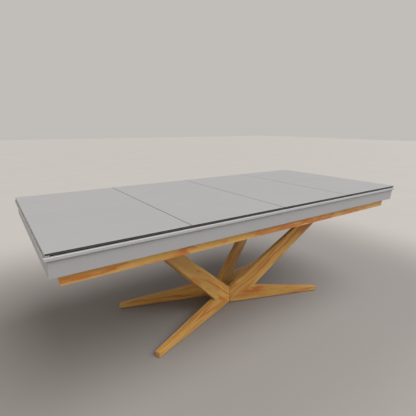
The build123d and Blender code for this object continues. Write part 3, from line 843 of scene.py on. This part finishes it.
class MakeOak(bpy.types.Operator):
    """Oak frame, arms and feet, with the grain along each board"""

    bl_idname = "table.make_oak"
    bl_label = "Oak frame and base"

    def board(self, settings, node, matrix, heart, painted_shading=1.0, seam=0.0):
        """Finishes a board whose grain matrix brings to X.

        heart is where its middle lies from the tree's heart, along, across and through. Its colours
        are scaled by a factor that paints light where it is over 1 and shade where it is under 1.
        """
        # painted light where the factor is over 1, painted shade where it is under 1
        light = toned(painted_shading, settings.light)
        dark = toned(painted_shading, settings.dark)
        low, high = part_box(node)
        middle = matrix @ ((low + high) / 2)
        shift = Vector(heart) - Vector((0, middle.y, middle.z))
        dress(node, wood(f"oak_{node}", light, dark, matrix.to_euler(), shift, settings.ring, seam))

    def execute(self, context):
        settings = context.scene.table_oak
        x_grain = Matrix(((1, 0, 0), (0, 0, 1), (0, -1, 0)))
        y_grain = Matrix(((0, 1, 0), (0, 0, 1), (1, 0, 0)))
        # painted light: the frame's rails are made paler than the arms
        self.board(settings, "oak_rail_front", x_grain, (0.3, 0.01, 0.08), RAIL_PAINTED_LIGHT)
        self.board(settings, "oak_rail_rear", x_grain, (1.9, -0.01, 0.09), RAIL_PAINTED_LIGHT)
        self.board(settings, "oak_rail_left", y_grain, (4.2, 0.0, 0.07), RAIL_PAINTED_LIGHT)
        self.board(settings, "oak_rail_right", y_grain, (6.2, 0.01, 0.08), RAIL_PAINTED_LIGHT)
        self.board(settings, "hub_block", x_grain, (8.2, 0.0, 0.07))
        number = 0
        for row, sy in FRONT_REAR.items():
            for side, sx in LEFT_RIGHT.items():
                arm = limb_turn(sx, sy, settings.plan_angle, ARM_RISE)
                foot = limb_turn(sx, sy, settings.plan_angle, FOOT_RISE)
                arm_heart = (1.3 * number + 0.4, 0.012, 0.075)
                foot_heart = (1.7 * number + 9.1, -0.01, 0.085)
                seam = settings.seam
                self.board(settings, f"arm_{row}_{side}", arm, arm_heart, 1.0, seam)
                # painted shade: the feet are made darker than the arms
                self.board(settings, f"foot_{row}_{side}", foot, foot_heart, FOOT_PAINTED_SHADE, seam)
                number += 1
        return {"FINISHED"}


class MakeTimber(bpy.types.Operator):
    """Plain timbers that the table hides"""

    bl_idname = "table.make_timber"
    bl_label = "Hidden timbers"

    def execute(self, context):
        beech = (BEECH_LIGHT, BEECH_DARK)
        x_grain = Matrix(((1, 0, 0), (0, 1, 0), (0, 0, 1))).to_euler()
        y_grain = Matrix(((0, 1, 0), (-1, 0, 0), (0, 0, 1))).to_euler()
        lengthwise = wood("beech_lengthwise", *beech, x_grain, Vector((0, 0.1, -0.6)), BEECH_RING)
        crosswise = wood("beech_crosswise", *beech, y_grain, Vector((3, 0.1, -0.6)), BEECH_RING)
        for row in FRONT_REAR:
            for half in LEFT_RIGHT:
                dress(f"sub_rail_{row}_{half}", lengthwise)
        for end in LEFT_RIGHT:
            dress(f"sub_rail_{end}", crosswise)
        for node in ("bed_bearers", "base_bearers", "glue_blocks"):
            dress(node, crosswise)
        dress("hub_dowels", lengthwise)
        return {"FINISHED"}


def stud_tree(name, sizes, material):
    """A geometry tree that puts a bolt on each point: a chamfered head, a washer and a shank.

    Heads face down, and the point is where the washer meets its seat.
    """
    group = bpy.data.node_groups.new(name, "GeometryNodeTree")
    group.interface.new_socket("Points", in_out="INPUT", socket_type="NodeSocketGeometry")
    for label, default in sizes.items():
        kind = "NodeSocketInt" if isinstance(default, int) else "NodeSocketFloat"
        socket = group.interface.new_socket(label, in_out="INPUT", socket_type=kind)
        socket.default_value = default
    group.interface.new_socket("Studs", in_out="OUTPUT", socket_type="NodeSocketGeometry")
    tree = Tree(group)
    given = tree.node("NodeGroupInput")
    head_radius, head = given.output("Head radius"), given.output("Head height")
    shank, washer = given.output("Shank length"), given.output("Washer height")
    chamfer = head * HEAD_CHAMFER

    def lifted(solid, height):
        place = tree.node("ShaderNodeCombineXYZ", {}, {"Z": height})
        return tree.node("GeometryNodeTransform", {}, {"Geometry": solid, "Translation": place})

    def cylinder(sides, radius, depth):
        sizes = {"Vertices": given.output(sides), "Radius": radius, "Depth": depth}
        return tree.node("GeometryNodeMeshCylinder", {}, sizes)

    body = cylinder("Head sides", head_radius, head - chamfer)
    face_sizes = {
        "Vertices": given.output("Head sides"),
        "Radius Top": head_radius,
        "Radius Bottom": head_radius * HEAD_FACE,
        "Depth": chamfer,
    }
    face = tree.node("GeometryNodeMeshCone", {}, face_sizes)
    shaft = cylinder("Round sides", given.output("Shank radius"), shank)
    disc = cylinder("Round sides", given.output("Washer radius"), washer)
    seat = washer * -1.0
    parts = [
        lifted(body, seat - (head - chamfer) * 0.5),
        lifted(face, seat - head),
        lifted(shaft, shank * 0.5),
        lifted(disc, washer * -0.5),
    ]
    whole = tree.node("GeometryNodeJoinGeometry", {}, {"Geometry": parts})
    studs = tree.node("GeometryNodeInstanceOnPoints", {}, {"Points": given, "Instance": whole})
    real = tree.node("GeometryNodeRealizeInstances", {}, {"Geometry": studs})
    dressed = {"Geometry": real, "Material": material}
    finished = tree.node("GeometryNodeSetMaterial", {}, dressed)
    tree.node("NodeGroupOutput", {}, {"Studs": finished})
    return group


def solid_centres(node):
    """Plan centre, lowest and highest level of each separate solid in a frame node."""
    build = bmesh.new()
    build.from_mesh(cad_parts[node].data)
    bmesh.ops.remove_doubles(build, verts=build.verts, dist=SAME_CORNER)
    seen, found = set(), []
    for vertex in build.verts:
        if vertex in seen:
            continue
        group, front = [], [vertex]
        seen.add(vertex)
        while front:
            current = front.pop()
            group.append(current.co.copy())
            for edge in current.link_edges:
                other = edge.other_vert(current)
                if other not in seen:
                    seen.add(other)
                    front.append(other)
        low = Vector([min(co[axis] for co in group) for axis in range(3)])
        high = Vector([max(co[axis] for co in group) for axis in range(3)])
        found.append(((low + high) / 2, low.z, high.z))
    build.free()
    return found


def studded(name, node, points, group, sizes):
    """Runs a stud tree over points and keeps the plain mesh as a piece."""
    mesh = bpy.data.meshes.new(name)
    mesh.from_pydata(points, [], [])
    carrier = bpy.data.objects.new(name, mesh)
    bpy.context.scene.collection.objects.link(carrier)
    modifier = carrier.modifiers.new("Studs", "NODES")
    modifier.node_group = group
    for item in group.interface.items_tree:
        if item.in_out == "INPUT" and item.name in sizes:
            modifier[item.identifier] = sizes[item.name]
    evaluated = carrier.evaluated_get(bpy.context.evaluated_depsgraph_get())
    result = bpy.data.meshes.new_from_object(evaluated)
    result.name = name
    carrier.modifiers.remove(modifier)
    bpy.data.objects.remove(carrier)
    build = bmesh.new()
    build.from_mesh(result)
    bmesh.ops.remove_doubles(build, verts=build.verts, dist=SAME_POINT)
    build.to_mesh(result)
    build.free()
    smooth(result, 25.0)
    return new_piece(name, result, "root", [node])


class MakeHardware(bpy.types.Operator):
    """Bolts, screws, plates and glides"""

    bl_idname = "table.make_hardware"
    bl_label = "Hardware"

    def execute(self, context):
        settings = context.scene.table_hardware
        plated = zinc("zinc_steel", tuple(settings.steel))
        nylon = moulded("glide_nylon", from_screen(46, 45, 44), 400.0, 0.45)
        dress("arm_plates", moulded("plate_steel", from_screen(40, 40, 41), 700.0, 0.42))
        dress("frame_screws", plated)
        dress("plate_screws", plated)
        bolts = solid_centres("rail_bolts")
        _, low, high = bolts[0]
        sizes = {
            "Head radius": 6.5 * MM,
            "Head height": BOLT_HEAD_HEIGHT,
            "Head sides": 6,
            "Shank radius": 4 * MM,
            "Shank length": high - low - WASHER_HEIGHT - BOLT_HEAD_HEIGHT,
            "Washer radius": 10 * MM,
            "Washer height": WASHER_HEIGHT,
            "Round sides": settings.sides,
        }
        group = stud_tree("Rail bolts", sizes, plated)
        seat = low + WASHER_HEIGHT + BOLT_HEAD_HEIGHT
        points = [(centre.x, centre.y, seat) for centre, _, _ in bolts]
        studded("hexagon_rail_bolts", "rail_bolts", points, group, sizes)
        dress("foot_glides", nylon)
        return {"FINISHED"}


class MakeStage(bpy.types.Operator):
    """Floor, soft lights and camera"""

    bl_idname = "table.make_stage"
    bl_label = "Stage"

    def execute(self, context):
        settings = context.scene.table_stage
        build = bmesh.new()
        bmesh.ops.create_grid(build, x_segments=1, y_segments=1, size=FLOOR_REACH)
        mesh = bpy.data.meshes.new("floor")
        build.to_mesh(mesh)
        build.free()
        painted_shade_floor, far = tuple(settings.floor), tuple(settings.sweep)

        def pattern(tree):
            place = tree.place()
            cloud = tree.noise(place, (1.5, 1.5, 1.5), 3.0)
            axes = tree.node("ShaderNodeSeparateXYZ", {}, {"Vector": place})
            # painted shade: the floor is darker under and round the table and turns to the paler
            # sweep further away
            beside = tree.maths("ABSOLUTE", axes) - PAINTED_SHADE_UNDER_TABLE[0]
            before = tree.maths("ABSOLUTE", axes.output("Y")) - PAINTED_SHADE_UNDER_TABLE[1]
            beside, before = [tree.maths("MAXIMUM", reach, 0.0) for reach in (beside, before)]
            away = (beside**2 + before**2) ** 0.5
            painted_shading = tree.mix(tree.above(away, *FLOOR_SHADE_FADE), painted_shade_floor, far)
            return {
                "Base Color": tree.mix(cloud * 0.04, painted_shading, (0.0, 0.0, 0.0)),
                "Roughness": 0.55 + cloud * 0.1,
                "height": (cloud, 0.05 * MM),
            }

        mesh.materials.append(finish("floor", pattern, {"Specular IOR Level": 0.3}))
        floor = bpy.data.objects.new("floor", mesh)
        context.scene.collection.objects.link(floor)

        world = bpy.data.worlds.new("room")
        context.scene.world = world
        world.use_nodes = True
        tree = Tree(world.node_tree)
        sky = tree.node("ShaderNodeTexCoord")
        axes = tree.node("ShaderNodeSeparateXYZ", {}, {"Vector": sky})
        level = tree.above(axes.output("Z"), *CEILING_FADE)
        walls, ceiling = [toned(light, ROOM_TINT) for light in (settings.walls, settings.ceiling)]
        shade = tree.mix(level, walls, ceiling)
        light = tree.node("ShaderNodeBackground", {}, {"Color": shade})
        tree.node("ShaderNodeOutputWorld", {}, {"Surface": light})

        for name, place, spread, power, tint in LAMPS:
            lamp = bpy.data.lights.new(name, "SUN")
            lamp.angle = spread
            lamp.energy = power
            lamp.color = tint
            made = bpy.data.objects.new(name, lamp)
            made.location = place
            aim = (LAMP_TARGET - Vector(place)).to_track_quat("-Z", "Y")
            made.rotation_euler = aim.to_euler()
            context.scene.collection.objects.link(made)

        camera = bpy.data.cameras.new("camera")
        camera.lens = settings.focal
        camera.sensor_width = SENSOR_WIDTH
        made = bpy.data.objects.new("camera", camera)
        context.scene.collection.objects.link(made)
        context.scene.camera = made
        ahead = Vector((cos(CAMERA_YAW), sin(CAMERA_YAW), 0))
        forward = ahead * cos(CAMERA_PITCH) - Vector((0, 0, sin(CAMERA_PITCH)))
        right = Vector((sin(CAMERA_YAW), -cos(CAMERA_YAW), 0))
        up = right.cross(forward)
        rolled_right = right * cos(CAMERA_ROLL) + up * sin(CAMERA_ROLL)
        rolled_up = up * cos(CAMERA_ROLL) - right * sin(CAMERA_ROLL)
        matrix = Matrix((rolled_right, rolled_up, -forward)).transposed().to_4x4()
        matrix.translation = CAMERA_PLACE
        made.matrix_world = matrix
        context.scene.view_settings.view_transform = "Standard"
        return {"FINISHED"}


class TablePanel(bpy.types.Panel):
    """Lists the operators in the order that builds the table"""

    bl_idname = "VIEW3D_PT_table"
    bl_label = "Dining and pool table"
    bl_space_type = "VIEW_3D"
    bl_region_type = "UI"
    bl_category = "Table"

    def draw(self, context):
        for operator in OPERATORS:
            self.layout.operator(operator.bl_idname)
        for name in SETTINGS:
            box = self.layout.box()
            group = getattr(context.scene, name)
            for key in group.__annotations__:
                box.prop(group, key)


OPERATORS = (MakeLeaves, MakeRails, MakeBed, MakeOak, MakeTimber, MakeHardware, MakeStage)
SETTINGS = {
    "table_leaves": LeafSettings,
    "table_rails": RailSettings,
    "table_oak": OakSettings,
    "table_hardware": HardwareSettings,
    "table_stage": StageSettings,
}


def register():
    for settings in SETTINGS.values():
        bpy.utils.register_class(settings)
    for name, settings in SETTINGS.items():
        setattr(bpy.types.Scene, name, PointerProperty(type=settings))
    for operator in OPERATORS:
        bpy.utils.register_class(operator)
    bpy.utils.register_class(TablePanel)


def unregister():
    bpy.utils.unregister_class(TablePanel)
    for operator in reversed(OPERATORS):
        bpy.utils.unregister_class(operator)
    for name, settings in SETTINGS.items():
        delattr(bpy.types.Scene, name)
        bpy.utils.unregister_class(settings)


def main():
    register()
    bpy.ops.table.make_leaves()
    bpy.ops.table.make_rails()
    bpy.ops.table.make_bed()
    bpy.ops.table.make_oak()
    bpy.ops.table.make_timber()
    bpy.ops.table.make_hardware()
    bpy.ops.table.make_stage()


if __name__ == "__main__":
    main()
